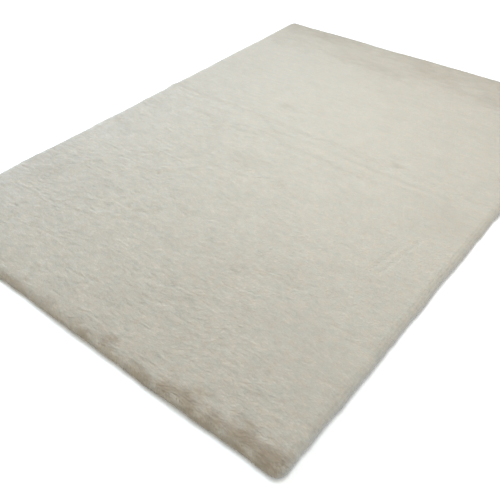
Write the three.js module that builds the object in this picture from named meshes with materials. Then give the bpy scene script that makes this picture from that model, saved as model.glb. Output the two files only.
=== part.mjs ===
import * as THREE from "three";

// A rabbit fur rug lying flat on the floor: a soft felt backing with one thick bed of
// fur on it. Sizes are in millimetres. X runs across the rug, Y along it and Z up.
// The origin is on the floor, under the middle of the rug.

// Driving sizes
const RUG_WIDTH = 1200;
const RUG_LENGTH = 1700;
const FUR_TOP = 20;
const BACKING_THICKNESS = 2;
const BACKING_INSET = 13;
const PIECE_GAP = 0.3;
const CORNER_RADIUS = 24;

// The locks at the rim: how many hang all round, how far the longest one stands out
// past the line of their roots and swings aside, how deep the partings between them are
// cut, how much higher some tips hang than others, and how far the partings rise
const LOCK_COUNT = 290;
const LOCK_REACH = 8;
const LOCK_SWEEP = 6;
const PARTING_DEPTH = 5;
const TIP_RISE = 3;
const PARTING_RISE = 2.5;
const RANDOM_SEED = 41;

// Where locks differ from each other, lowest and highest share: place of a tip between
// its two partings, reach, swing aside, rise of the tip, and depth of a parting
const LOCK_RANGES = {
  place: [0.35, 0.65],
  reach: [0.35, 1],
  sweep: [-1, 1],
  rise: [-0.4, 1],
  parting: [0.5, 1],
};

// The rim seen in section, from its lower edge to where it turns onto the top. At each
// level: height above the floor, distance in from the line of the roots, share of a
// lock's reach, and share of the depth of a parting
const RIM_LEVELS = [
  { height: BACKING_THICKNESS + PIECE_GAP, inset: 10, reach: 0, parting: 0 },
  { height: 4, inset: 0, reach: 1, parting: 1 },
  { height: 10.5, inset: 0, reach: 0.5, parting: 0.8 },
  { height: 16, inset: 4, reach: 0.25, parting: 0.5 },
];
const RIM_TOP = { height: 19, inset: 12, reach: 0.1, parting: 0 };

// The top surface is a net of points inside the rim
const NET_PITCH = 30;
const NET_INSET = 32;
const CLUMP_RISE = 0.8;
const MM_PER_METRE = 1000;

// Long low swells of the top: waves per metre along X and Y, turn and rise
const SWELLS = [
  { alongX: 1.1, alongY: 2.3, turn: 0.4, rise: 0.5 },
  { alongX: -2.6, alongY: 1.2, turn: 2.1, rise: 0.4 },
  { alongX: 3.4, alongY: 3.1, turn: 4.4, rise: 0.3 },
];

// Folds left in the fur: points of the crest or trough line, height of the crest (below
// zero for a trough) and distance from the line at which the fold has died away
const FOLDS = [
  { line: [[-600, 112], [180, 114], [580, 106]], rise: 1.8, spread: 36 },
  { line: [[-600, 112], [-490, 112]], rise: 1.2, spread: 34 },
  { line: [[-140, 112], [190, 114]], rise: 0.8, spread: 34 },
  { line: [[-420, 22], [-320, 18], [260, 20]], rise: 1.5, spread: 34 },
  { line: [[-330, 18], [-215, 18]], rise: 0.8, spread: 34 },
  { line: [[-540, -520], [-420, -370], [-240, -290]], rise: 0.8, spread: 40 },
  { line: [[-240, -290], [-150, -225], [-70, -190], [60, -145]], rise: 2.4, spread: 42 },
  { line: [[-410, -458], [-215, -428]], rise: -2, spread: 36 },
  { line: [[-360, -560], [-260, -530], [-140, -470], [30, -370]], rise: -2, spread: 36 },
  { line: [[-150, -515], [-10, -483]], rise: -1.8, spread: 34 },
  { line: [[60, -710], [260, -600]], rise: -2, spread: 36 },
  { line: [[100, -630], [230, -560]], rise: -1.2, spread: 34 },
  { line: [[440, -360], [455, -290], [470, -160]], rise: -1.8, spread: 38 },
  { line: [[220, -466], [370, -450]], rise: -1, spread: 34 },
];

// Round hollows pressed into the fur: middle, depth and radius
const HOLLOWS = [
  { x: -450, y: -495, depth: 1.4, radius: 40 },
  { x: 290, y: 150, depth: 1.5, radius: 42 },
  { x: -170, y: 240, depth: 1.3, radius: 42 },
  { x: -60, y: 280, depth: 1.2, radius: 40 },
  { x: 410, y: -790, depth: 1.8, radius: 70 },
  { x: 545, y: -790, depth: 1.6, radius: 60 },
  { x: 240, y: -800, depth: 1.2, radius: 50 },
];

// How the four sides wander off a straight line: the point on the rug's outline where
// the side bulges (or draws in, below zero), how far, and over what length
const SIDE_BULGES = [
  { x: -150, y: -850, out: -3, spread: 260 },
  { x: 310, y: -850, out: 2.5, spread: 170 },
  { x: 600, y: -620, out: 1.5, spread: 130 },
  { x: 600, y: -215, out: -3, spread: 90 },
  { x: 600, y: -140, out: 1.5, spread: 40 },
  { x: 600, y: 60, out: -1.5, spread: 160 },
  { x: -600, y: -500, out: 1.5, spread: 120 },
  { x: -600, y: -110, out: -3, spread: 110 },
  { x: -600, y: 330, out: -2, spread: 220 },
  { x: -510, y: 850, out: -3, spread: 80 },
  { x: -300, y: 850, out: 2.5, spread: 170 },
  { x: 160, y: 850, out: 2, spread: 90 },
  { x: 270, y: 850, out: -3, spread: 90 },
];

THREE.MathUtils.seededRandom(RANDOM_SEED);

function randomBetween([low, high]) {
  return low + (high - low) * THREE.MathUtils.seededRandom();
}

// One at a line or point, sinking smoothly to nothing at the given distance from it
function fade(distance, spread) {
  return 1 - THREE.MathUtils.smoothstep(distance, 0, spread);
}

function roundedRectangle(width, length, radius) {
  const right = width / 2 - radius;
  const far = length / 2 - radius;
  const shape = new THREE.Shape();
  shape.absarc(right, far, radius, 0, 0.5 * Math.PI);
  shape.absarc(-right, far, radius, 0.5 * Math.PI, Math.PI);
  shape.absarc(-right, -far, radius, Math.PI, 1.5 * Math.PI);
  shape.absarc(right, -far, radius, 1.5 * Math.PI, 2 * Math.PI);
  shape.closePath();
  return shape;
}

function distanceToLine(point, line) {
  const corners = line.map(([x, y]) => new THREE.Vector3(x, y, 0));
  const nearest = new THREE.Vector3();
  let shortest = Infinity;
  for (let i = 1; i < corners.length; i += 1) {
    new THREE.Line3(corners[i - 1], corners[i]).closestPointToPoint(point, true, nearest);
    shortest = Math.min(shortest, nearest.distanceTo(point));
  }
  return shortest;
}

// Height of the fur over a place well inside the rim
function furHeight(x, y) {
  const place = new THREE.Vector3(x, y, 0);
  let height = FUR_TOP + randomBetween([-CLUMP_RISE, CLUMP_RISE]);
  for (const { alongX, alongY, turn, rise } of SWELLS) {
    const waves = (alongX * x + alongY * y) / MM_PER_METRE;
    height += rise * Math.sin(2 * Math.PI * waves + turn);
  }
  for (const { line, rise, spread } of FOLDS) {
    height += rise * fade(distanceToLine(place, line), spread);
  }
  for (const { x: middleX, y: middleY, depth, radius } of HOLLOWS) {
    height -= depth * fade(Math.hypot(x - middleX, y - middleY), radius);
  }
  return height;
}

// How far the side bulges out at a point of the outline
function sideBulge(x, y) {
  let bulge = 0;
  for (const { x: middleX, y: middleY, out, spread } of SIDE_BULGES) {
    bulge += out * fade(Math.hypot(x - middleX, y - middleY), spread);
  }
  return bulge;
}

// A closed skin of triangles, built up from loops of points
class Skin {
  constructor() {
    this.points = [];
    this.corners = [];
  }

  addPoint(x, y, z) {
    this.points.push(new THREE.Vector3(x, y, z));
    return this.points.length - 1;
  }

  gap(a, b) {
    return this.points[a].distanceTo(this.points[b]);
  }

  // Joins two loops that run the same way round, always across the shorter gap
  joinLoops(outer, inner) {
    let i = 0;
    let j = 0;
    while (i < outer.length || j < inner.length) {
      const a = outer[i % outer.length];
      const b = inner[j % inner.length];
      const nextA = outer[(i + 1) % outer.length];
      const nextB = inner[(j + 1) % inner.length];
      const outerIsShorter = this.gap(nextA, b) < this.gap(a, nextB);
      if (j === inner.length || (i < outer.length && outerIsShorter)) {
        this.corners.push(a, nextA, b);
        i += 1;
      } else {
        this.corners.push(a, nextB, b);
        j += 1;
      }
    }
  }

  // Closes a flat loop with faces that look down
  closeUnderneath(loop) {
    const contour = loop.map((index) => this.points[index]);
    for (const [a, b, c] of THREE.ShapeUtils.triangulateShape(contour, [])) {
      this.corners.push(loop[a], loop[c], loop[b]);
    }
  }

  geometry() {
    const geometry = new THREE.BufferGeometry().setFromPoints(this.points);
    geometry.setIndex(this.corners);
    geometry.computeVertexNormals();
    return geometry;
  }
}

// Every lock has a tip and a parting beside it, each at its own place along the rim
function rimStations() {
  const stations = [];
  for (let lock = 0; lock < LOCK_COUNT; lock += 1) {
    stations.push({
      at: (lock + randomBetween(LOCK_RANGES.place)) / LOCK_COUNT,
      out: LOCK_REACH * randomBetween(LOCK_RANGES.reach),
      sweep: LOCK_SWEEP * randomBetween(LOCK_RANGES.sweep),
      rise: TIP_RISE * randomBetween(LOCK_RANGES.rise),
      isTip: true,
    });
    stations.push({
      at: (lock + 1) / LOCK_COUNT,
      out: -PARTING_DEPTH * randomBetween(LOCK_RANGES.parting),
      sweep: 0,
      rise: PARTING_RISE,
      isTip: false,
    });
  }
  return stations;
}

// The rim as loops of points, from its lower edge up to where it turns onto the top
function addRim(skin) {
  const roots = roundedRectangle(
    RUG_WIDTH - 2 * LOCK_REACH,
    RUG_LENGTH - 2 * LOCK_REACH,
    CORNER_RADIUS,
  );

  // A point of the rim: out from the line of the roots, along it, and up
  function rimPoint(station, level) {
    const share = station.isTip ? level.reach : level.parting;
    const root = roots.getPoint(station.at);
    const along = roots.getTangent(station.at);
    const out = sideBulge(root.x, root.y) - level.inset + station.out * share;
    const aside = station.sweep * share;
    const x = root.x + along.y * out + along.x * aside;
    const y = root.y - along.x * out + along.y * aside;
    return skin.addPoint(x, y, level.height + station.rise * share);
  }

  const stations = rimStations();
  const tips = stations.filter((station) => station.isTip);
  const sideLoops = RIM_LEVELS.map((level) => stations.map((station) => rimPoint(station, level)));
  const topLoop = tips.map((station) => rimPoint(station, RIM_TOP));
  return [...sideLoops, topLoop];
}

// The net of the top, in rows along X, and its edge as one loop of points that starts at
// the corner at +X and +Y and runs round to the left
function addNet(skin) {
  const width = RUG_WIDTH - 2 * NET_INSET;
  const length = RUG_LENGTH - 2 * NET_INSET;
  const columns = Math.round(width / NET_PITCH);
  const rows = Math.round(length / NET_PITCH);
  const net = [];
  for (let row = 0; row <= rows; row += 1) {
    const y = length * (row / rows - 0.5);
    net.push([]);
    for (let column = 0; column <= columns; column += 1) {
      const x = width * (column / columns - 0.5);
      net[row].push(skin.addPoint(x, y, furHeight(x, y)));
    }
  }
  for (let row = 0; row < rows; row += 1) {
    for (let column = 0; column < columns; column += 1) {
      const a = net[row][column];
      const b = net[row][column + 1];
      const c = net[row + 1][column + 1];
      const d = net[row + 1][column];
      if ((row + column) % 2 === 0) {
        skin.corners.push(a, b, c, a, c, d);
      } else {
        skin.corners.push(a, b, d, b, c, d);
      }
    }
  }

  const farEdge = net[rows].slice(1).reverse();
  const leftEdge = net.slice(1).reverse().map((row) => row[0]);
  const nearEdge = net[0].slice(0, -1);
  const rightEdge = net.slice(0, -1).map((row) => row[columns]);
  return [...farEdge, ...leftEdge, ...nearEdge, ...rightEdge];
}

function furPile() {
  const skin = new Skin();
  const loops = [...addRim(skin), addNet(skin)];
  skin.closeUnderneath(loops[0]);
  for (let i = 1; i < loops.length; i += 1) {
    skin.joinLoops(loops[i - 1], loops[i]);
  }

  const geometry = skin.geometry();
  const material = new THREE.MeshStandardMaterial({ color: 0xcdcabd, roughness: 1, metalness: 0 });
  const mesh = new THREE.Mesh(geometry, material);
  mesh.name = "fur_pile";

  // The locks differ from side to side, so the bed is set back over the origin
  geometry.computeBoundingBox();
  const middle = geometry.boundingBox.getCenter(new THREE.Vector3());
  mesh.position.set(-middle.x, -middle.y, 0);
  return mesh;
}

function backing() {
  const outline = roundedRectangle(
    RUG_WIDTH - 2 * BACKING_INSET,
    RUG_LENGTH - 2 * BACKING_INSET,
    CORNER_RADIUS,
  );
  const geometry = new THREE.ExtrudeGeometry(outline, {
    depth: BACKING_THICKNESS,
    bevelEnabled: false,
    curveSegments: 8,
  });
  const material = new THREE.MeshStandardMaterial({ color: 0x85857f, roughness: 0.95, metalness: 0 });
  const mesh = new THREE.Mesh(geometry, material);
  mesh.name = "backing";
  return mesh;
}

const rug = new THREE.Group();
rug.add(backing());
rug.add(furPile());

export default rug;
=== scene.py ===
# %% [markdown]
# A rabbit fur rug in cells
# A rabbit fur rug is a short, dense, very soft pile on a thin felt backing. It lies flat
# on the floor, so nearly all of its look comes from the fur: which way it lies, how it
# breaks up into small overlapping tufts, and how it rolls over the edge of the backing.
# Everything here is in metres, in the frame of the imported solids: X across the rug, Y
# along it and Z up from the floor.

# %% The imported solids
import math

import bpy
import numpy as np
from mathutils import Matrix, Vector


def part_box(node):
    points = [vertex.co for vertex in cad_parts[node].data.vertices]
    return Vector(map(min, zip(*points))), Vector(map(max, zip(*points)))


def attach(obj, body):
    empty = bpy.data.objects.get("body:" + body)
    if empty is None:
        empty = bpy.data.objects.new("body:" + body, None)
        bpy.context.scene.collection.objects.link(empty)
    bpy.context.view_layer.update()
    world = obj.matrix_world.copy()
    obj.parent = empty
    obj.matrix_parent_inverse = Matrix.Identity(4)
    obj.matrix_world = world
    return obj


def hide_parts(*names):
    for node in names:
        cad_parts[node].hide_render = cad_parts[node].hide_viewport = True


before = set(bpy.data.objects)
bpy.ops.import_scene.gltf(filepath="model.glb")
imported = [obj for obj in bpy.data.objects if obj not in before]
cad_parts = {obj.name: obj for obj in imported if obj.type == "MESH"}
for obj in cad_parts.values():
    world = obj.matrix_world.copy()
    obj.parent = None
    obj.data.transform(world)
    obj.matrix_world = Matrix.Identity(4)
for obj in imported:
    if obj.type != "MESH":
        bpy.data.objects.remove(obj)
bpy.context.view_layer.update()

fur_low, fur_high = (Vector(corner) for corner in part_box("fur_pile"))
felt_low, felt_high = (Vector(corner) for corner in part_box("backing"))
print("fur from", tuple(fur_low), "to", tuple(fur_high))
print("felt from", tuple(felt_low), "to", tuple(felt_high))

# %% [markdown]
# The camera
# The photograph is taken from just past the near right corner, a metre up, and cuts off
# the left and right corners of the rug. The place and angles come from fitting the four
# edges of a 1.2 m by 1.7 m rug to the picture. The lens is given for a sensor 36 mm wide.

# %% The camera
CAMERA_PLACE = Vector((0.9145, -1.308, 1.021))
CAMERA_HEADING = math.radians(129.25)  # from +X, towards +Y
CAMERA_DIP = math.radians(40.87)
CAMERA_ROLL = math.radians(-0.65)
CAMERA_LENS = 45.2
SENSOR_WIDTH = 36


def add_camera():
    """The camera looks along its own -Z, so a level one is tipped up by a quarter turn."""
    bpy.ops.object.camera_add(location=CAMERA_PLACE)
    camera = bpy.context.object
    camera.name = "photo_camera"
    turn = Matrix.Rotation(CAMERA_HEADING - math.pi / 2, 3, "Z")
    dip = Matrix.Rotation(math.pi / 2 - CAMERA_DIP, 3, "X")
    roll = Matrix.Rotation(CAMERA_ROLL, 3, "Z")
    camera.rotation_euler = (turn @ dip @ roll).to_euler()
    camera.data.lens = CAMERA_LENS
    camera.data.sensor_width = SENSOR_WIDTH
    camera.data.clip_end = 50
    return camera


bpy.context.scene.camera = add_camera()
print("camera at", tuple(CAMERA_PLACE), "with a lens of", CAMERA_LENS, "mm")

# %% [markdown]
# Floor and light
# The rug is shown on a bright white floor in soft light. Most of the light comes evenly
# from all round, as in a large white room. A soft lamp above the middle makes the middle
# and the far half the brightest, and lets the near end fall away. A cool lamp low down at
# the left lights that side, a weak warm one stands behind on the right, and a weak blue
# one in front on the right keeps the right rim from going brown in its own shade.

# %% The floor
FLOOR_SIZE = 14
FLOOR_COLOUR = (0.920, 0.935, 0.965, 1)


def plain_material(name, colour, roughness):
    """A finish of one colour, which is enough for the floor."""
    material = bpy.data.materials.new(name)
    material.use_nodes = True
    shader = material.node_tree.nodes["Principled BSDF"]
    shader.inputs["Base Color"].default_value = colour
    shader.inputs["Roughness"].default_value = roughness
    return material


def add_floor():
    bpy.ops.mesh.primitive_plane_add(size=FLOOR_SIZE, location=(0, 0, 0))
    floor = bpy.context.object
    floor.name = "floor"
    floor.data.materials.append(plain_material("floor_white", FLOOR_COLOUR, 0.9))
    return floor


bpy.ops.object.select_all(action="DESELECT")
floor = add_floor()
print(floor.name, "of", FLOOR_SIZE, "m")

# %% The light
SKY_COLOUR = (1.0, 0.963, 0.822, 1)
SKY_STRENGTH = 0.84

# The lamps: name, place, the point that it shines at, size, power and colour
LAMPS = (
    ("main_lamp", (0.0, 0.2, 1.5), (0.0, 0.2, 0), 0.8, 16.7, (0.890, 0.962, 1.0)),
    ("left_lamp", (-2.2, -0.3, 0.8), (-0.3, -0.1, 0), 1.2, 58, (0.620, 0.765, 1.0)),
    ("right_lamp", (1.6, 1.9, 2.0), (0.3, 0.4, 0), 1.2, 7, (1.0, 0.700, 0.680)),
    ("low_lamp", (2.0, -0.9, 0.5), (0.6, -0.2, 0), 0.8, 5.5, (0.14, 0.45, 1.0)),
)


def add_light():
    world = bpy.data.worlds.new("soft_sky")
    bpy.context.scene.world = world
    world.use_nodes = True
    sky = world.node_tree.nodes["Background"]
    sky.inputs["Color"].default_value = SKY_COLOUR
    sky.inputs["Strength"].default_value = SKY_STRENGTH
    for name, place, aim, size, power, colour in LAMPS:
        bpy.ops.object.light_add(type="AREA", location=place)
        lamp = bpy.context.object
        lamp.name = name
        towards = Vector(aim) - Vector(place)
        lamp.rotation_euler = towards.to_track_quat("-Z", "Y").to_euler()
        lamp.data.size = size
        lamp.data.energy = power
        lamp.data.color = colour
        lamp.visible_camera = False


add_light()
bpy.context.scene.view_settings.view_transform = "Standard"
print("lit by the sky and", len(LAMPS), "lamps")

# %% [markdown]
# The shape of the fur
# The fur's surface is written down once, as a height for every place on the rug, and
# every piece of fur is then set on it. It could be sculpted by hand instead, but a formula
# can be asked for the height anywhere, as finely as a piece needs. Its parts are long low
# swells, the folds and hollows that packing has left, and narrow wisps of hairs that
# cling together. The fur lies across the rug, towards its right side, so the wisps run
# that way too, and the furrows between them draw the fine short lines of the photo.

# %% Soft random patches
NOISE_REACH = 2  # the noise covers places up to this far from the origin


def mix_four(table, i, j, u, v):
    """A value among four neighbours in a table, u and v of the way from the first."""
    low = table[i, j] * (1 - u) + table[i + 1, j] * u
    high = table[i, j + 1] * (1 - u) + table[i + 1, j + 1] * u
    return low * (1 - v) + high * v


def soft_noise(x, y, width, length, seed):
    """Smooth random numbers from -1 to 1, in patches of the given size."""
    rng = np.random.default_rng(seed)
    across = (np.asarray(x) + NOISE_REACH) / width
    along = (np.asarray(y) + NOISE_REACH) / length
    columns = int(2 * NOISE_REACH / width) + 3
    rows = int(2 * NOISE_REACH / length) + 3
    table = rng.uniform(-1, 1, (columns, rows))
    i = np.floor(across).astype(int)
    j = np.floor(along).astype(int)
    u = across - i
    v = along - j
    return mix_four(table, i, j, u * u * (3 - 2 * u), v * v * (3 - 2 * v))


def layered_noise(x, y, layers):
    """The sum of layers of noise, each with its strength, width, length and seed."""
    return sum(strength * soft_noise(x, y, *patches) for strength, *patches in layers)


def smooth_step(x, low, high):
    """Nothing up to low, one from high on, and a smooth rise between them."""
    t = np.clip((np.asarray(x) - low) / (high - low), 0, 1)
    return t * t * (3 - 2 * t)


def fade(distance, spread):
    """One at a line or point, sinking smoothly to nothing at the given distance."""
    return 1 - smooth_step(distance, 0, spread)


def unit(vectors):
    return vectors / np.maximum(np.linalg.norm(vectors, axis=-1, keepdims=True), 1e-9)


print("halfway to its end, a mark keeps", float(fade(0.5, 1)), "of its strength")

# %% Swells, folds and hollows
FUR_TOP = 0.020

# Long low swells: waves in each metre along X and Y, turn, and rise
SWELLS = (
    (1.1, 2.3, 0.4, 0.0005),
    (-2.6, 1.2, 2.1, 0.0004),
    (3.4, 3.1, 4.4, 0.0003),
)

# Folds and finger tracks: points of the line, rise (below zero for a trough), and the
# distance at which it has died away
FOLDS = (
    (((-0.600, 0.112), (0.180, 0.110), (0.580, 0.106)), 0.0030, 0.030),
    (((-0.600, 0.112), (-0.490, 0.112)), 0.0014, 0.028),
    (((-0.140, 0.108), (0.190, 0.098)), 0.0009, 0.026),
    (((-0.420, 0.018), (-0.320, 0.016), (-0.120, 0.038), (0.260, 0.012)), 0.0028, 0.028),
    (((-0.330, 0.018), (-0.215, 0.018)), 0.0010, 0.026),
    (((-0.540, -0.520), (-0.420, -0.370), (-0.240, -0.290)), 0.0017, 0.034),
    (((-0.240, -0.290), (-0.150, -0.225), (-0.070, -0.190), (0.060, -0.145)), 0.0030, 0.032),
    (((-0.410, -0.458), (-0.215, -0.428)), -0.0014, 0.028),
    (((-0.360, -0.560), (-0.260, -0.530), (-0.140, -0.470), (0.030, -0.370)), -0.0013, 0.028),
    (((-0.150, -0.515), (-0.010, -0.483)), -0.0014, 0.024),
    (((0.060, -0.710), (0.260, -0.600)), -0.0009, 0.024),
    (((0.100, -0.630), (0.230, -0.560)), -0.0008, 0.022),
    (((0.446, -0.290), (0.466, -0.169)), -0.0012, 0.009),
    (((0.469, -0.294), (0.490, -0.131)), -0.0012, 0.009),
    (((0.220, -0.466), (0.370, -0.450)), -0.0012, 0.012),
)

# Hollows pressed into the fur: middle, depth and radius
HOLLOWS = (
    ((-0.450, -0.495), 0.0016, 0.030),
    ((0.290, 0.150), 0.0018, 0.034),
    ((-0.170, 0.240), 0.0014, 0.034),
    ((-0.060, 0.280), 0.0014, 0.030),
    ((0.410, -0.790), 0.0020, 0.060),
    ((0.545, -0.790), 0.0018, 0.055),
    ((0.240, -0.800), 0.0014, 0.045),
)
print(len(SWELLS), "swells,", len(FOLDS), "folds and", len(HOLLOWS), "hollows")

# %% Sides that wander
# How the sides wander off a straight line: the place on the outline, how far out the
# side bulges there, and over what length
SIDE_BULGES = (
    ((0.600, -0.850), 0.0120, 0.044),
    ((-0.150, -0.850), -0.0030, 0.260),
    ((0.310, -0.850), 0.0025, 0.170),
    ((0.600, -0.620), 0.0015, 0.130),
    ((0.600, -0.215), -0.0030, 0.090),
    ((0.600, -0.140), 0.0015, 0.040),
    ((0.600, 0.060), -0.0015, 0.160),
    ((-0.600, -0.500), 0.0015, 0.120),
    ((-0.600, -0.110), -0.0030, 0.110),
    ((-0.600, 0.330), -0.0020, 0.220),
    ((-0.510, 0.850), -0.0030, 0.080),
    ((-0.300, 0.850), 0.0025, 0.170),
    ((0.160, 0.850), 0.0020, 0.090),
    ((0.270, 0.850), -0.0030, 0.090),
)
print(len(SIDE_BULGES), "bulges of the sides")


# %% The broad height of the fur
def distance_to_line(x, y, line):
    """How far each place is from the nearest stretch of a line."""
    nearest = np.full(np.shape(x), np.inf)
    for (x0, y0), (x1, y1) in zip(line, line[1:]):
        run, rise = x1 - x0, y1 - y0
        share = ((x - x0) * run + (y - y0) * rise) / (run * run + rise * rise)
        share = np.clip(share, 0, 1)
        nearest = np.minimum(nearest, np.hypot(x - x0 - share * run, y - y0 - share * rise))
    return nearest


def side_bulge(x, y):
    """How far the side bulges out near each place."""
    out = np.zeros(np.shape(x))
    for (middle_x, middle_y), reach, spread in SIDE_BULGES:
        out += reach * fade(np.hypot(x - middle_x, y - middle_y), spread)
    return out


def broad_height(x, y):
    """The height of the fur's top, without its wisps."""
    height = np.full(np.shape(x), FUR_TOP)
    for along_x, along_y, turn, rise in SWELLS:
        height += rise * np.sin(2 * math.pi * (along_x * x + along_y * y) + turn)
    for line, rise, spread in FOLDS:
        height += rise * fade(distance_to_line(x, y, line), spread)
    for (middle_x, middle_y), depth, radius in HOLLOWS:
        height -= depth * fade(np.hypot(x - middle_x, y - middle_y), radius)
    return height


print("the middle of the fur is", round(float(broad_height(0, 0)), 4), "m high")

# %% Where the fur is ruffled
RUFFLE_AT_MIDDLE = 0.30
RUFFLE_PER_METRE = (-0.60, -0.75)


def ruffled(x, y):
    """One at the near left corner, sinking to nothing at the smooth right side and far end."""
    share = RUFFLE_AT_MIDDLE + RUFFLE_PER_METRE[0] * x + RUFFLE_PER_METRE[1] * y
    return smooth_step(share, 0, 1)


def by_ruffle(x, y, smooth, rough):
    """A value that goes from smooth to rough as the fur goes from brushed to ruffled."""
    return smooth + (rough - smooth) * ruffled(x, y)


print("ruffled at the middle:", round(float(ruffled(0, 0)), 3))

# %% Wisps
# Each pair is for where the fur is brushed smooth, and for where it is ruffled
WISP_RISE = (0.0002, 0.0014)
FINE_WISP_RISE = (0.00012, 0.0006)
WISP_BENDS = ((0.010, 0.110, 0.090, 11), (0.003, 0.030, 0.030, 12))
WISPS = (0.040, 0.011, 13)
FINE_WISPS = (0.018, 0.0060, 14)
WISP_GROUPS = (0.060, 0.030, 15)
FURROW_STEEPNESS = 2.2
WISP_STRENGTH = (0.45, 0.80)  # on average, and how much it may differ from that
WISP_MIDDLE = 0.7  # the share of a wisp's rise that lies below the fur's broad height


def wisp_height(x, y):
    """Rounded wisps along X with narrow furrows between them, deep only here and there."""
    bent_y = y + layered_noise(x, y, WISP_BENDS)
    broad = np.minimum(np.abs(soft_noise(x, bent_y, *WISPS)) * FURROW_STEEPNESS, 1)
    fine = soft_noise(x, bent_y, *FINE_WISPS)
    groups = WISP_STRENGTH[0] + WISP_STRENGTH[1] * soft_noise(x, y, *WISP_GROUPS)
    rise = by_ruffle(x, y, *WISP_RISE)
    strength = np.clip(groups, 0, 1)
    return rise * strength * (broad - WISP_MIDDLE) + by_ruffle(x, y, *FINE_WISP_RISE) * fine


print("the wisp at the middle is", round(float(wisp_height(0, 0)), 5), "m high")

# %% [markdown]
# Light and dark in the fur
# Fur isn't of one colour. Where the hairs part, the browner underfur shows, and where a
# hand has brushed the hairs the other way they look lighter or darker. Along the near end
# the brown is partly underfur and partly painted shade of the rim, and at its foot it is
# painted shade alone. Soft lines of painted shade and painted light run along the sides of
# the folds. All could be painted on a picture, but here they are formulas of the place on
# the rug again: ovals with ragged edges for the partings, soft lines for the painted fold
# shading, and narrow streaks that run along the hairs. Every lock and every point of the
# bed is given their values later.

# %% Partings
# Partings, where the browner underfur shows, strongly along the near end and hardly at
# all elsewhere: the middle of each, half its width and length, and how bare it is
PARTINGS = (
    ((-0.070, -0.098), (0.080, 0.042), 0.18),
    ((-0.166, 0.232), (0.050, 0.026), 0.18),
    ((0.297, 0.141), (0.030, 0.012), 0.30),
    ((0.498, 0.003), (0.085, 0.080), 0.11),
    ((-0.470, -0.838), (0.070, 0.020), 0.50),
    ((-0.330, -0.840), (0.045, 0.018), 0.45),
    ((-0.185, -0.836), (0.055, 0.022), 0.60),
    ((-0.060, -0.838), (0.050, 0.018), 0.50),
    ((0.075, -0.840), (0.036, 0.018), 0.75),
    ((0.138, -0.830), (0.028, 0.024), 0.90),
    ((0.250, -0.836), (0.044, 0.024), 0.90),
    ((0.315, -0.832), (0.040, 0.026), 0.80),
    ((0.370, -0.826), (0.044, 0.032), 0.95),
    ((0.425, -0.834), (0.036, 0.026), 0.90),
    ((0.485, -0.794), (0.050, 0.009), 0.55),
    ((0.498, -0.830), (0.044, 0.034), 1.00),
    ((0.560, -0.828), (0.036, 0.030), 1.00),
)
print(len(PARTINGS), "partings")

# %% Bare patches
PATCH_DEPTH = 0.0007
RAGGED_EDGES = ((0.40, 0.034, 0.012, 31), (0.28, 0.016, 0.005, 32))
CLOUDS = ((0.5, 0.150, 0.070, 33),)
PARTING_EDGE = 1.4  # where a parting has died away, in shares of its half size

# The near end: its place along Y, how brown it is there, partly bare and partly painted
# shade of the rim, how far that reaches in, and the painted shade at its foot under the
# roll, how strong it is and from where it begins to where it is full
NEAR_END = -0.85
NEAR_END_BARE_AND_SHADE = 0.24
NEAR_END_REACH = 0.055
NEAR_FOOT_PAINTED_SHADE = 0.85
NEAR_FOOT = (0.842, 0.851)

# The far end: a strip that begins quickly, and the rest that comes in slowly behind it
FAR_END_BARE = 0.34
FAR_STRIP = (0.590, 0.690)
FAR_STRIP_WANDER = 0.05
FAR_STRIP_SHARE = 0.6
FAR_SLOW = (0.660, 0.850)


def bare_and_shade_patches(x, y):
    """How brown the fur is: underfur in ragged partings and at both ends, and painted shade along the
    near end and at its foot.
    """
    ragged = layered_noise(x, y, RAGGED_EDGES)
    # Painted shade of the near rim, mixed with some underfur, and painted shade alone at its foot
    bare_and_shade = NEAR_END_BARE_AND_SHADE * fade(y - NEAR_END, NEAR_END_REACH) + 0 * x
    bare_and_shade = np.maximum(bare_and_shade, NEAR_FOOT_PAINTED_SHADE * smooth_step(-y, *NEAR_FOOT))
    for (middle_x, middle_y), (half_width, half_length), amount in PARTINGS:
        distance = np.hypot((x - middle_x) / half_width, (y - middle_y) / half_length)
        bare_and_shade = np.maximum(bare_and_shade, amount * fade(distance + ragged, PARTING_EDGE))
    cloudy = 1 + ragged + layered_noise(x, y, CLOUDS)
    far = FAR_STRIP_SHARE * smooth_step(y + FAR_STRIP_WANDER * ragged, *FAR_STRIP)
    far = far + (1 - FAR_STRIP_SHARE) * smooth_step(y, *FAR_SLOW)
    return np.clip(bare_and_shade + FAR_END_BARE * far * cloudy, 0, 1)


print("bare at the near right corner:", round(float(bare_and_shade_patches(0.56, -0.82)), 2))

# %% Painted fold shading
# Painted shade (below zero) and painted light along the sides of the folds and troughs:
# points of the line, the change, and the distance at which it has died away
PAINTED_FOLD_SHADING = (
    (((-0.572, 0.095), (-0.396, 0.093)), -0.035, 0.014),
    (((-0.330, -0.005), (-0.259, 0.010), (-0.124, 0.018)), -0.040, 0.014),
    (((-0.300, 0.162), (-0.200, 0.128), (-0.110, 0.082)), -0.040, 0.012),
    (((-0.110, 0.080), (0.050, 0.086), (0.180, 0.080), (0.475, 0.078)), -0.055, 0.012),
    (((0.030, 0.062), (0.300, 0.060), (0.440, 0.066)), 0.035, 0.012),
    (((-0.045, 0.025), (0.096, 0.030), (0.231, 0.019)), -0.045, 0.011),
    (((-0.080, 0.044), (0.070, 0.048)), 0.030, 0.012),
    (((-0.225, -0.300), (-0.113, -0.226), (-0.005, -0.179), (0.072, -0.165)), 0.040, 0.016),
    (((-0.325, -0.449), (-0.199, -0.434)), -0.055, 0.016),
    (((-0.071, -0.503), (-0.005, -0.491)), -0.055, 0.013),
    (((0.196, -0.493), (0.258, -0.488)), -0.050, 0.010),
    (((0.375, -0.453), (0.400, -0.450)), -0.045, 0.010),
)
print(len(PAINTED_FOLD_SHADING), "brushed lines")

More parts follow.
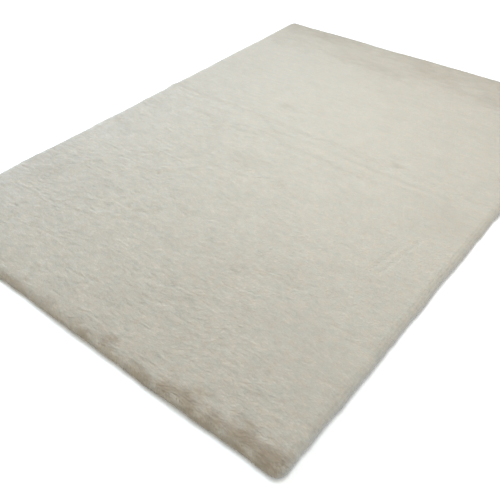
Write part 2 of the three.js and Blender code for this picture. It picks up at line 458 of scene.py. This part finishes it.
# %% Brushing and streaks
BRUSHING = ((0.6, 0.120, 0.060, 41), (0.6, 0.045, 0.022, 42))
STREAK_BENDS = ((0.014, 0.110, 0.080, 44), (0.006, 0.032, 0.026, 45))
STREAKS = ((0.6, 0.024, 0.0090, 46), (0.6, 0.012, 0.0045, 47))


def brushing(x, y):
    """From -1 to 1: how much lighter the fur is, where it was last brushed the other way."""
    return np.clip(layered_noise(x, y, BRUSHING), -1, 1)


def painted_fold_shading(x, y):
    """Painted shade and painted light along the sides of the folds and troughs."""
    change = 0 * x
    for line, amount, spread in PAINTED_FOLD_SHADING:
        change = change + amount * fade(distance_to_line(x, y, line), spread)
    return change


def streaks(x, y):
    """Narrow streaks along the hairs, where neighbouring locks share one tone."""
    return layered_noise(x, y + layered_noise(x, y, STREAK_BENDS), STREAKS)


print("streak at the middle:", round(float(streaks(0, 0)), 2))

# %% [markdown]
# A map of the fur
# The fur's surface is thought of as a flat sheet that is laid on the rug and rolled over
# at its rim. A height alone couldn't do that, because at the rim the fur turns under
# itself. A place on the flat sheet is a place on the map, which is a little larger than
# the rug, and a table says where each place goes in space and which way is out of the fur
# there. The bed and all the locks are then drawn on the map and looked up.

# %% The map's rim
CORNER_RADIUS = 0.024
HALF_WIDTH = 0.598
HALF_LENGTH = 0.847
ROLL_WIDTH = 0.022  # the roll over the rim, seen from above
ROLL_ARC = 0.036  # the length of the whole roll on the map
MAP_MARGIN = ROLL_ARC - ROLL_WIDTH


def inside_distance(x, y):
    """How far in from the map's rim a place lies, and the direction out of the rug."""
    qx = np.abs(x) - (HALF_WIDTH - CORNER_RADIUS)
    qy = np.abs(y) - (HALF_LENGTH - CORNER_RADIUS)
    over = np.hypot(np.maximum(qx, 0), np.maximum(qy, 0))
    depth = CORNER_RADIUS + MAP_MARGIN - over - np.minimum(np.maximum(qx, qy), 0)
    corner = np.stack([np.maximum(qx, 0) * np.sign(x), np.maximum(qy, 0) * np.sign(y)], -1)
    across = np.stack([np.sign(x), 0 * x], -1)
    along = np.stack([0 * x, np.sign(y)], -1)
    flat = np.where((qx > qy)[..., None], across, along)
    size = np.linalg.norm(corner, axis=-1, keepdims=True)
    out = np.where(size > 0, corner / np.maximum(size, 1e-9), flat)
    return depth, out


print("the map reaches", round(MAP_MARGIN, 3), "m past the rug")

# %% The roll over the rim
ROLL_HEIGHT = 0.013
UNDER_WIDTH = 0.009  # how far the roll turns back in under itself
UNDER_HEIGHT = 0.0055
ROLL_END = math.radians(150)
ROLL_OVERRUN = 1.08  # the roll goes on a little past the map's rim
RIM_WAVES = ((0.0012, 0.026, 0.026, 16),)
RIM_REACH = 0.090  # how far in from the map's rim its waves and bulges reach


def roll_angle(depth):
    """How far round the roll a place is: nothing at its top, a quarter turn at the side."""
    return np.clip(1 - depth / ROLL_ARC, 0, ROLL_OVERRUN) * ROLL_END


def fur_place(x, y, relief):
    """Where a place on the map goes, with the relief measured out of the surface."""
    depth, out = inside_distance(x, y)
    angle = roll_angle(depth)
    back = np.minimum(depth - ROLL_ARC, 0)
    inner_x = x + out[..., 0] * back
    inner_y = y + out[..., 1] * back
    waves = layered_noise(inner_x, inner_y, RIM_WAVES)
    pull = (side_bulge(inner_x, inner_y) + waves) * fade(depth, RIM_REACH)
    upper = angle < math.pi / 2
    width = np.where(upper, ROLL_WIDTH, UNDER_WIDTH)
    height = np.where(upper, ROLL_HEIGHT, UNDER_HEIGHT)
    reach = ROLL_WIDTH - width * (1 - np.sin(angle))
    reach = np.where(angle > 0, reach, 0)
    drop = ROLL_HEIGHT - height * np.cos(angle)
    side = height * np.sin(angle)
    rise = width * np.cos(angle)
    size = np.hypot(side, rise)
    normal = np.stack([out[..., 0] * side, out[..., 1] * side, rise], -1) / size[..., None]
    place_x = inner_x + out[..., 0] * (reach + pull)
    place_y = inner_y + out[..., 1] * (reach + pull)
    place_z = broad_height(inner_x, inner_y) - drop
    place = np.stack([place_x, place_y, place_z], -1)
    return place + normal * relief[..., None]


right_edge = fur_place(np.array([HALF_WIDTH + MAP_MARGIN]), np.zeros(1), np.zeros(1))
print("the map's right edge goes to", right_edge.round(3).tolist())

# %% The map
MAP_STEP = 0.0025
MAP_X = np.arange(-0.65, 0.65, MAP_STEP)
MAP_Y = np.arange(-0.90, 0.90, MAP_STEP)


def draw_map():
    """Tables of where each place on the map goes, and which way is out of the fur there."""
    x, y = np.meshgrid(MAP_X, MAP_Y, indexing="ij")
    place = fur_place(x, y, wisp_height(x, y) - PATCH_DEPTH * bare_and_shade_patches(x, y))
    along_x = np.gradient(place, axis=0)
    along_y = np.gradient(place, axis=1)
    return place, unit(np.cross(along_x, along_y))


def look_up(table, x, y):
    """The value of a table of the map at each place, mixed from the four nearest."""
    # The last place is kept just inside the last cell
    across = np.clip((x - MAP_X[0]) / MAP_STEP, 0, len(MAP_X) - 1.001)
    along = np.clip((y - MAP_Y[0]) / MAP_STEP, 0, len(MAP_Y) - 1.001)
    i = across.astype(int)
    j = along.astype(int)
    return mix_four(table, i, j, (across - i)[..., None], (along - j)[..., None])


map_place, map_normal = draw_map()
print("map of", map_place.shape[0], "by", map_place.shape[1], "places")

# %% [markdown]
# The backing
# The felt backing is a thin flat sheet with round corners. It starts as a cube that is
# pressed to the backing's size; its upright edges are bevelled into round corners and
# its rims are softened, as cut felt is. It replaces the plain solid of the same size.

# %% The backing
FELT_SOFT_EDGE = 0.0006


def start_editing(piece, kind):
    """Leaves nothing of the piece selected, so that code can select what it needs."""
    bpy.context.view_layer.objects.active = piece
    bpy.ops.object.mode_set(mode="EDIT")
    bpy.ops.mesh.select_mode(type=kind)
    bpy.ops.mesh.select_all(action="DESELECT")
    bpy.ops.object.mode_set(mode="OBJECT")


def finish_piece(piece):
    """Puts the place, turn and size of a piece into its mesh."""
    bpy.ops.object.select_all(action="DESELECT")
    piece.select_set(True)
    bpy.context.view_layer.objects.active = piece
    bpy.ops.object.transform_apply(location=True, rotation=True, scale=True)


def model_backing():
    """A cube pressed to the felt's size, with round corners and soft rims."""
    bpy.ops.object.select_all(action="DESELECT")
    bpy.ops.mesh.primitive_cube_add(size=1, location=(felt_low + felt_high) / 2)
    felt = bpy.context.object
    felt.name = "felt_backing"
    felt.scale = felt_high - felt_low
    finish_piece(felt)
    start_editing(felt, "EDGE")
    # The four upright edges
    for edge in felt.data.edges:
        ends = [felt.data.vertices[i].co for i in edge.vertices]
        edge.select = abs(ends[0].z - ends[1].z) > 0.001
    bpy.ops.object.mode_set(mode="EDIT")
    bpy.ops.mesh.bevel(offset=CORNER_RADIUS, segments=10, affect="EDGES")
    bpy.ops.mesh.select_all(action="DESELECT")
    bpy.ops.object.mode_set(mode="OBJECT")
    # The flat top and underside
    for face in felt.data.polygons:
        face.select = abs(face.normal.z) > 0.9
    bpy.ops.object.mode_set(mode="EDIT")
    bpy.ops.mesh.select_mode(type="EDGE")
    bpy.ops.mesh.region_to_loop()
    bpy.ops.mesh.bevel(offset=FELT_SOFT_EDGE, segments=2, affect="EDGES")
    bpy.ops.object.mode_set(mode="OBJECT")
    bpy.ops.object.shade_smooth_by_angle(angle=math.radians(50))
    return felt


felt_backing = model_backing()
print("felt backing:", len(felt_backing.data.polygons), "faces")

# %% [markdown]
# The bed of underfur
# Under the visible hairs lies the dense underfur, which closes the gaps between them. It
# is one closed sheet, about half a millimetre below the fur's surface. It starts as a
# flat grid of the size of the map. Its points are looked up on the map, which rolls it
# over at the rim, and its open lower edge is then closed.

# %% Values on a mesh
HAIR_MAP_SCALE = 10  # the hair map counts in tenths of a metre


def write_values(mesh, name, values):
    """One number for each point of a mesh, which the fur's finish reads by its name."""
    attribute = mesh.attributes.new(name, "FLOAT", "POINT")
    attribute.data.foreach_set("value", values.astype(np.float32))


def write_hair_map(mesh, across, along):
    """A UV map that tells each corner of a face its place across and along the hairs."""
    corner_points = np.empty(len(mesh.loops), dtype=np.int32)
    mesh.loops.foreach_get("vertex_index", corner_points)
    flat = np.stack([across, along], -1)[corner_points] * HAIR_MAP_SCALE
    layer = mesh.uv_layers.new(name="hair_map")
    layer.uv.foreach_set("vector", flat.astype(np.float32).ravel())


# %% The bed's grid
BED_CELL = 0.0060


def add_grid():
    """A flat grid of the size of the map."""
    half_x = HALF_WIDTH + MAP_MARGIN
    half_y = HALF_LENGTH + MAP_MARGIN
    bpy.ops.object.select_all(action="DESELECT")
    bpy.ops.mesh.primitive_grid_add(
        x_subdivisions=int(2 * half_x / BED_CELL),
        y_subdivisions=int(2 * half_y / BED_CELL),
        size=2,
        calc_uvs=False,
    )
    bed = bpy.context.object
    bed.name = "fur_bed"
    bed.scale = (half_x, half_y, 1)
    finish_piece(bed)
    return bed


def round_corners(x, y):
    """Moves the corners of the square grid onto the round corners of the map."""
    qx = np.abs(x) - (HALF_WIDTH - CORNER_RADIUS)
    qy = np.abs(y) - (HALF_LENGTH - CORNER_RADIUS)
    both = (qx > 0) & (qy > 0)
    scale = np.where(both, np.maximum(qx, qy) / np.maximum(np.hypot(qx, qy), 1e-9), 1)
    new_x = np.where(both, np.sign(x) * (HALF_WIDTH - CORNER_RADIUS + qx * scale), x)
    new_y = np.where(both, np.sign(y) * (HALF_LENGTH - CORNER_RADIUS + qy * scale), y)
    return new_x, new_y


fur_bed = add_grid()
print("grid of", len(fur_bed.data.vertices), "points")

# %% The bed of underfur
BED_DEPTH = (0.00035, 0.00055)  # where the fur is brushed smooth, and where it is ruffled
BED_LOWEST = felt_high.z + 0.0003
BED_HAIR = 0.6  # how far along a hair the bed takes its colour


def lay_on_map(bed):
    """Moves the points of the grid to their places on the rug, and gives them their values."""
    points = np.empty(len(bed.data.vertices) * 3)
    bed.data.vertices.foreach_get("co", points)
    x, y = round_corners(points[0::3], points[1::3])
    depth = by_ruffle(x, y, *BED_DEPTH)
    place = look_up(map_place, x, y) - depth[:, None] * look_up(map_normal, x, y)
    place[:, 2] = np.maximum(place[:, 2], BED_LOWEST)
    bed.data.vertices.foreach_set("co", place.ravel())
    bed.data.update()
    write_hair_map(bed.data, x, y)
    write_values(bed.data, "hair", np.full(len(x), BED_HAIR))
    # The bed's tone is the painted shade and light of the folds
    write_values(bed.data, "tone", 1 + painted_fold_shading(x, y))
    write_values(bed.data, "bare_and_shade", bare_and_shade_patches(x, y))


def close_underneath(bed):
    """Closes the open lower edge of the bed with one flat face."""
    start_editing(bed, "EDGE")
    bpy.ops.object.mode_set(mode="EDIT")
    bpy.ops.mesh.select_non_manifold(extend=False)
    bpy.ops.mesh.edge_face_add()
    bpy.ops.mesh.select_all(action="SELECT")
    bpy.ops.mesh.normals_make_consistent(inside=False)
    bpy.ops.object.mode_set(mode="OBJECT")
    bpy.ops.object.shade_smooth()


lay_on_map(fur_bed)
close_underneath(fur_bed)
print("underfur:", len(fur_bed.data.polygons), "faces")

# %% [markdown]
# One lock of hair
# Hairs cling together in small pointed locks. One lock is modelled once: a cone of three
# sides, whose base is drawn out to a second point and let down, so that the lock rises
# out of the underfur and then lies along it. It is one unit long and one wide, so that
# each copy can have its own size, and it has only six faces, because there are so many.
# Blender's hair curves could draw single hairs, but the finished rug has to be meshes.

# %% One lock of hair
LOCK_CUT = -0.45  # where the lock is widest, seen from its tip
LOCK_THICKNESS = 0.014
LOCK_TOP = -0.005  # where its top edge is, seen from its tip
ROOT_DROP = -0.09


def press_flat(lock):
    """Gives the cone's base its width and thickness, with its top edge near the tip's height."""
    wide = max(v.co.y for v in lock.data.vertices) - min(v.co.y for v in lock.data.vertices)
    thick = max(v.co.z for v in lock.data.vertices) - min(v.co.z for v in lock.data.vertices)
    lock.scale = (1, 1 / wide, LOCK_THICKNESS / thick)
    finish_piece(lock)
    start_editing(lock, "VERT")
    top = max(v.co.z for v in lock.data.vertices)
    # The base, away from the tip
    for vertex in lock.data.vertices:
        vertex.select = vertex.co.x < -0.1
    bpy.ops.object.mode_set(mode="EDIT")
    bpy.ops.transform.translate(value=(0, 0, LOCK_TOP - top))
    bpy.ops.object.mode_set(mode="OBJECT")


def model_lock():
    """A lock one unit long and one wide, with its tip at the origin."""
    bpy.ops.object.select_all(action="DESELECT")
    bpy.ops.mesh.primitive_cone_add(
        vertices=3,
        radius1=0.5,
        radius2=0,
        depth=-LOCK_CUT,
        location=(0, 0, LOCK_CUT / 2),
    )
    lock = bpy.context.object
    lock.name = "one_lock"
    finish_piece(lock)
    # The cone is laid down with its tip towards +X and one of its three edges on top
    lock.rotation_euler = (0, math.pi / 2, 0)
    finish_piece(lock)
    lock.rotation_euler = (math.pi / 2, 0, 0)
    finish_piece(lock)
    press_flat(lock)
    start_editing(lock, "FACE")
    # The base is drawn out to one point, which is the lock's root
    for face in lock.data.polygons:
        face.select = face.normal.x < -0.9
    bpy.ops.object.mode_set(mode="EDIT")
    bpy.ops.mesh.extrude_region_move(
        TRANSFORM_OT_translate={"value": (-1 - LOCK_CUT, 0, ROOT_DROP)},
    )
    bpy.ops.mesh.merge(type="COLLAPSE")
    bpy.ops.mesh.select_all(action="SELECT")
    bpy.ops.mesh.normals_make_consistent(inside=False)
    bpy.ops.object.mode_set(mode="OBJECT")
    return lock


one_lock = model_lock()
print(one_lock.name, "has", len(one_lock.data.polygons), "faces")

# %% The lock as arrays
def read_lock(lock):
    """The lock's points, normals and faces as arrays, after which it isn't needed."""
    points = np.array([vertex.co for vertex in lock.data.vertices])
    normals = np.array([vertex.normal for vertex in lock.data.vertices])
    faces = np.array([face.vertices for face in lock.data.polygons])
    bpy.data.objects.remove(lock)
    return points, normals, faces


lock_points, lock_normals, lock_faces = read_lock(one_lock)
print(lock_points.round(3).tolist())

# %% [markdown]
# Planting the fur
# The lock is copied about 142,000 times. Each copy has its tip on the fur's surface, lies
# along the nap there, and has its own length, width, lift and tone. The copies of one
# band of the rug are joined into one mesh, straight from arrays, because that is far
# quicker than adding objects. Their normals are mostly those of the surface that they lie
# on, which keeps the fur as soft as light that scatters in it makes it.

# %% The lie of the fur
NAP_TURNS = ((0.18, 0.220, 0.260, 21), (0.12, 0.080, 0.060, 22), (0.07, 0.030, 0.024, 23))
HANG_ANGLES = (0.2, 1.4)  # round the roll: where hairs begin to hang out, and where all do
HANG = 0.65
HANG_TO_RIGHT = 0.25


def nap(x, y):
    """The direction in which the hairs lie: towards the right side, wandering a little."""
    turn = layered_noise(x, y, NAP_TURNS)
    direction = np.stack([np.cos(turn), np.sin(turn)], -1)
    # On the rim the hairs hang out and down, most at the right side, towards which they lie
    depth, out = inside_distance(x, y)
    over = smooth_step(roll_angle(depth), *HANG_ANGLES) * (HANG + HANG_TO_RIGHT * out[..., 0])
    return unit(direction * (1 - over[..., None]) + out * over[..., None])


print("the nap at the middle:", nap(np.zeros(1), np.zeros(1)).round(2).tolist())

# %% Shaping the locks
NORMAL_SOFTNESS = 0.94
FLOOR_GAP = 0.0006


def shape_locks(x, y, length, width, lift):
    """The points and normals of locks, from the places of their tips on the map."""
    along = nap(x, y)
    back = length[:, None] * lock_points[None, :, 0]
    aside = width[:, None] * lock_points[None, :, 1]
    # The spine follows the surface, and its rings all face one way, so that no lock twists
    spine_x = x[:, None] + along[:, 0:1] * back
    spine_y = y[:, None] + along[:, 1:2] * back
    spine = look_up(map_place, spine_x, spine_y)
    normal = look_up(map_normal, spine_x, spine_y)
    half_x = x - 0.5 * length * along[:, 0]
    half_y = y - 0.5 * length * along[:, 1]
    tip = look_up(map_place, x, y)
    forward = unit(tip - look_up(map_place, half_x, half_y))[:, None]
    across = unit(np.cross(look_up(map_normal, half_x, half_y)[:, None], forward))
    upward = unit(normal - across * (normal * across).sum(axis=-1, keepdims=True))
    out_by = length[:, None] * lock_points[None, :, 2] + lift[:, None] * (1 + lock_points[None, :, 0])
    points = spine + across * aside[..., None] + upward * out_by[..., None]
    # A lock that would reach into the floor is lifted as a whole
    points[..., 2] += np.maximum(FLOOR_GAP - points[..., 2].min(axis=1), 0)[:, None]
    # The normals are mostly those of the fur's surface, and a little the lock's own
    own = forward * lock_normals[None, :, 0:1] + across * lock_normals[None, :, 1:2]
    own = own + normal * lock_normals[None, :, 2:3]
    return points, unit(unit(own) * (1 - NORMAL_SOFTNESS) + normal * NORMAL_SOFTNESS)


trial = shape_locks(np.zeros(1), np.zeros(1), np.full(1, 0.015), np.full(1, 0.003), np.zeros(1))
print("a lock at the middle has its points at", trial[0].round(4).tolist())

# %% A mesh from arrays
def mesh_from_arrays(name, points, faces):
    """A mesh of triangles, which is far quicker to make than by adding objects."""
    mesh = bpy.data.meshes.new(name)
    mesh.vertices.add(len(points))
    mesh.vertices.foreach_set("co", points.astype(np.float32).ravel())
    mesh.loops.add(faces.size)
    mesh.loops.foreach_set("vertex_index", faces.astype(np.int32).ravel())
    mesh.polygons.add(len(faces))
    mesh.polygons.foreach_set("loop_start", np.arange(0, faces.size, 3, dtype=np.int32))
    mesh.update()
    mesh.validate()
    mesh.shade_smooth()
    return mesh


# %% Planting the locks
# The fine strands of each lock start at one of so many places of their noise, so far apart
STRAND_PLACES = 97
STRAND_STEP = 0.013
STRAND_SLANT = 0.7


def plant(name, x, y, length, width, lift, tone):
    """One mesh of locks, from the places of their tips on the map, their sizes and tones."""
    points, normals = shape_locks(x, y, length, width, lift)
    first = np.arange(len(x)) * len(lock_points)
    faces = (lock_faces[None] + first[:, None, None]).reshape(-1, 3)
    mesh = mesh_from_arrays(name, points.reshape(-1, 3), faces)
    own_normals = mesh.attributes.new("custom_normal", "FLOAT_VECTOR", "POINT")
    own_normals.data.foreach_set("vector", normals.astype(np.float32).ravel())
    strand_place = np.repeat(np.arange(len(x)) % STRAND_PLACES * STRAND_STEP, len(lock_points))
    across = (width[:, None] * lock_points[None, :, 1]).ravel() + strand_place
    along = (length[:, None] * lock_points[None, :, 0]).ravel() + strand_place * STRAND_SLANT
    write_hair_map(mesh, across, along)
    write_values(mesh, "hair", np.tile(1 + lock_points[:, 0], len(x)))
    write_values(mesh, "tone", np.repeat(tone, len(lock_points)))
    write_values(mesh, "bare_and_shade", np.repeat(bare_and_shade_patches(x, y), len(lock_points)))
    piece = bpy.data.objects.new(name, mesh)
    bpy.context.scene.collection.objects.link(piece)
    print(name, "has", len(x), "locks and", len(faces), "faces")
    return piece


# %% Where the locks stand
LOCK_PITCH = 0.00385
SCATTER = 0.6  # how far a lock may be off the square grid, in shares of the pitch
random = np.random.default_rng(7)


def scatter(pitch):
    """Places on the whole map, each a random step away from a square grid."""
    xs = np.arange(-HALF_WIDTH - MAP_MARGIN, HALF_WIDTH + MAP_MARGIN, pitch)
    ys = np.arange(-HALF_LENGTH - MAP_MARGIN, HALF_LENGTH + MAP_MARGIN, pitch)
    x, y = (grid.ravel() for grid in np.meshgrid(xs, ys))
    x = x + pitch * random.uniform(-SCATTER, SCATTER, x.shape)
    y = y + pitch * random.uniform(-SCATTER, SCATTER, y.shape)
    depth, _ = inside_distance(x, y)
    return x[depth > 0], y[depth > 0]


tip_x, tip_y = scatter(LOCK_PITCH)
print(len(tip_x), "locks stand", LOCK_PITCH, "m apart")

# %% Locks all over the fur
BAND_COUNT = 5
LOCK_LENGTH = (0.011, 0.018)
LOCK_WIDTH = (0.0024, 0.0038)

# How far the tips stand up, and how strong a lock's own tone and its streak's are, each
# for where the fur is brushed smooth and for where it is ruffled
LOCK_LIFT = (0.00010, 0.00046)
OWN_TONE = (0.38, 0.78)
STREAK_TONE = (0.55, 1.15)
BRUSHING_TONE = 0.4
TONE_SPREAD = 0.09


def lock_tone(x, y):
    """How light each lock is, by itself, with its streak, as it was last brushed, and with the painted
    fold shading.
    """
    tone = random.uniform(-1, 1, x.shape) * by_ruffle(x, y, *OWN_TONE)
    tone = tone + streaks(x, y) * by_ruffle(x, y, *STREAK_TONE)
    tone = tone + BRUSHING_TONE * brushing(x, y)
    # The painted shade and light of the folds is added last
    return 1 + TONE_SPREAD * tone + painted_fold_shading(x, y)


def plant_bands(x, y):
    """All the locks, with their sizes and tones, joined into one mesh for each band."""
    length = random.uniform(*LOCK_LENGTH, x.shape)
    width = random.uniform(*LOCK_WIDTH, x.shape)
    lift = np.abs(random.normal(0, 1, x.shape)) * by_ruffle(x, y, *LOCK_LIFT)
    tone = lock_tone(x, y)
    share = (y - y.min()) / (y.max() - y.min())
    band = np.minimum((share * BAND_COUNT).astype(int), BAND_COUNT - 1)
    pieces = []
    for i in range(BAND_COUNT):
        rows = [values[band == i] for values in (x, y, length, width, lift, tone)]
        pieces.append(plant(f"fur_locks_{i + 1}", *rows))
    return pieces


lock_bands = plant_bands(tip_x, tip_y)
print(len(lock_bands), "bands of locks")

# %% [markdown]
# Shared finishes
# Two effects are used by both the fur and the felt, so each is a node group that is
# built once. Fine strands are noise stretched along the hairs. Mottling is broad noise
# that turns a colour a little cooler in some places and a little warmer in others, as
# light that is scattered among fibres does.

# %% Making node groups
def new_group(name, inputs, outputs):
    """An empty node group with its sockets, each a name and a kind."""
    group = bpy.data.node_groups.new(name, "ShaderNodeTree")
    for direction, sockets in (("INPUT", inputs), ("OUTPUT", outputs)):
        for socket, kind in sockets:
            group.interface.new_socket(socket, in_out=direction, socket_type="NodeSocket" + kind)
    return group, group.nodes.new("NodeGroupInput"), group.nodes.new("NodeGroupOutput")


def add_node(tree, kind, settings=None, **values):
    """A node with its settings, and with values or links for its inputs by name."""
    node = tree.nodes.new("ShaderNode" + kind)
    for name, value in (settings or {}).items():
        setattr(node, name, value)
    for name, value in values.items():
        socket = node.inputs[name.replace("_", " ")]
        if isinstance(value, bpy.types.NodeSocket):
            tree.links.new(value, socket)
        else:
            socket.default_value = value
    return node


# %% Fine strands
def strands_group():
    """Noise from 0 to 1, drawn out as the two values for across and along ask."""
    group, given, result = new_group(
        "fine_strands",
        [("Place", "Vector"), ("Across", "Float"), ("Along", "Float")],
        [("Strands", "Float")],
    )
    size = add_node(group, "CombineXYZ", X=given.outputs["Across"], Y=given.outputs["Along"], Z=1.0)
    place = add_node(group, "VectorMath", {"operation": "MULTIPLY"})
    group.links.new(given.outputs["Place"], place.inputs[0])
    group.links.new(size.outputs["Vector"], place.inputs[1])
    noise = add_node(
        group,
        "TexNoise",
        Vector=place.outputs["Vector"],
        Scale=1.0,
        Detail=2.0,
        Roughness=0.6,
    )
    group.links.new(noise.outputs["Fac"], result.inputs["Strands"])
    return group


fine_strands = strands_group()
print(fine_strands.name, "has", len(fine_strands.nodes), "nodes")

# %% Mottling
def mottling_group():
    """A tint that wanders between a cool colour and a warm one."""
    group, given, result = new_group(
        "mottling",
        [("Place", "Vector"), ("Scale", "Float"), ("Cool", "Color"), ("Warm", "Color")],
        [("Tint", "Color")],
    )
    noise = add_node(
        group,
        "TexNoise",
        Vector=given.outputs["Place"],
        Scale=given.outputs["Scale"],
        Detail=3.0,
        Roughness=0.6,
    )
    spread = add_node(group, "MapRange", Value=noise.outputs["Fac"], From_Min=0.35, From_Max=0.65)
    tint = add_node(group, "Mix", {"data_type": "RGBA"})
    group.links.new(spread.outputs["Result"], tint.inputs["Factor"])
    group.links.new(given.outputs["Cool"], tint.inputs[6])
    group.links.new(given.outputs["Warm"], tint.inputs[7])
    group.links.new(tint.outputs[2], result.inputs["Tint"])
    return group


mottling = mottling_group()
print(mottling.name, "has", len(mottling.nodes), "nodes")

# %% [markdown]
# The fur's finish
# The hairs are a warm light grey, a little darker towards their roots, which is partly
# the underfur's own colour and partly painted shade between the locks. The attributes of
# the locks say how far along its hair a point is, how light its lock is, with the painted
# fold shading, and how bare the fur is there or how much painted shade lies at the near
# rim. The tone and the brownness could be painted on by hand, but as values on the mesh
# they follow the locks exactly. Soft hair has some sheen and hardly any gloss.

# %% Steps in a finish
def mix_colours(tree, factor, first, second, blend="MIX"):
    """Two colours mixed, or multiplied, by a factor. Each may be a value or a link."""
    node = add_node(tree, "Mix", {"data_type": "RGBA", "blend_type": blend})
    for value, socket in ((factor, 0), (first, 6), (second, 7)):
        if isinstance(value, bpy.types.NodeSocket):
            tree.links.new(value, node.inputs[socket])
        else:
            node.inputs[socket].default_value = value
    return node.outputs[2]


def attribute(tree, name):
    """The number that a mesh holds at each point under this name."""
    return add_node(tree, "Attribute", {"attribute_name": name}).outputs["Fac"]


def spread_value(tree, value, low, high, start=0.0, end=1.0):
    """A value that is moved from the range start to end to the range low to high."""
    node = add_node(tree, "MapRange", Value=value, From_Min=start, From_Max=end, To_Min=low, To_Max=high)
    return node.outputs["Result"]


def scaled(tree, colour, value):
    """A colour that a value makes lighter or darker."""
    node = add_node(tree, "VectorMath", {"operation": "SCALE"}, Scale=value)
    tree.links.new(colour, node.inputs[0])
    return node.outputs["Vector"]


def add_group(tree, group, **values):
    """One of the shared groups with its own values."""
    node = add_node(tree, "Group", {"node_tree": group}, **values)
    return node.outputs[0]


def new_material(name):
    """A material, its nodes and its shader."""
    material = bpy.data.materials.new(name)
    material.use_nodes = True
    return material, material.node_tree, material.node_tree.nodes["Principled BSDF"]


# %% The fur's finish
TIP_COLOUR = (0.460, 0.433, 0.380, 1)
# Darker at the roots: partly the underfur's own colour, partly painted shade between the locks
ROOT_COLOUR = (0.405, 0.376, 0.323, 1)
BARE_AND_SHADE_COLOUR = (0.290, 0.243, 0.189, 1)


def fur_material():
    """The colour from root to tip, the brown of underfur and painted shade, the tints, the strands and
    the tone with its painted fold shading.
    """
    material, tree, shader = new_material("rabbit_fur")
    hairs = spread_value(tree, attribute(tree, "hair"), 0, 1, 0.35, 0.85)
    colour = mix_colours(tree, hairs, ROOT_COLOUR, TIP_COLOUR)
    # The brown of bare underfur, and the painted shade of the near rim and its foot
    colour = mix_colours(tree, attribute(tree, "bare_and_shade"), colour, BARE_AND_SHADE_COLOUR)
    place = add_node(tree, "TexCoord").outputs["Object"]
    tint = add_group(
        tree,
        mottling,
        Place=place,
        Scale=60.0,
        Cool=(0.976, 1.000, 1.022, 1),
        Warm=(1.024, 0.992, 0.964, 1),
    )
    colour = mix_colours(tree, 1.0, colour, tint, "MULTIPLY")
    hair_place = add_node(tree, "UVMap", {"uv_map": "hair_map"}).outputs["UV"]
    strands = add_group(tree, fine_strands, Place=hair_place, Across=140.0, Along=6.0)
    colour = scaled(tree, colour, spread_value(tree, strands, 0.96, 1.04))
    colour = scaled(tree, colour, attribute(tree, "tone"))
    tree.links.new(colour, shader.inputs["Base Color"])
    bump = add_node(tree, "Bump", Height=strands, Strength=0.25, Distance=0.0003)
    tree.links.new(bump.outputs["Normal"], shader.inputs["Normal"])
    shader.inputs["Roughness"].default_value = 0.85
    shader.inputs["Specular IOR Level"].default_value = 0.2
    shader.inputs["Sheen Weight"].default_value = 0.25
    shader.inputs["Sheen Roughness"].default_value = 0.5
    return material


fur = fur_material()
print(fur.name, "has", len(fur.node_tree.nodes), "nodes")

# %% The fur on its pieces
for piece in [fur_bed, *lock_bands]:
    piece.data.materials.append(fur)
    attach(piece, "root")
    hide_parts("fur_pile")
print("fur finish on", len(lock_bands) + 1, "pieces")

# %% [markdown]
# The felt's finish
# Felt is pressed fibre without a weave. The same two groups serve it: the mottling makes
# it darker and lighter in small clouds, and the strands, here nearly as short as they are
# wide, give its fuzz. They also raise its surface a little.

# %% The felt's finish
FELT_DARK = (0.150, 0.150, 0.147, 1)
FELT_LIGHT = (0.215, 0.214, 0.205, 1)


def felt_material():
    """Clouds of two greys, with fibres that lighten, darken and raise them."""
    material, tree, shader = new_material("grey_felt")
    place = add_node(tree, "TexCoord").outputs["Object"]
    colour = add_group(tree, mottling, Place=place, Scale=220.0, Cool=FELT_DARK, Warm=FELT_LIGHT)
    fibres = add_group(tree, fine_strands, Place=place, Across=1400.0, Along=900.0)
    colour = scaled(tree, colour, spread_value(tree, fibres, 0.80, 1.20))
    tree.links.new(colour, shader.inputs["Base Color"])
    bump = add_node(tree, "Bump", Height=fibres, Strength=0.5, Distance=0.0004)
    tree.links.new(bump.outputs["Normal"], shader.inputs["Normal"])
    shader.inputs["Roughness"].default_value = 0.95
    shader.inputs["Specular IOR Level"].default_value = 0.15
    return material


felt_backing.data.materials.append(felt_material())
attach(felt_backing, "root")
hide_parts("backing")
print("felt finish on", felt_backing.name)
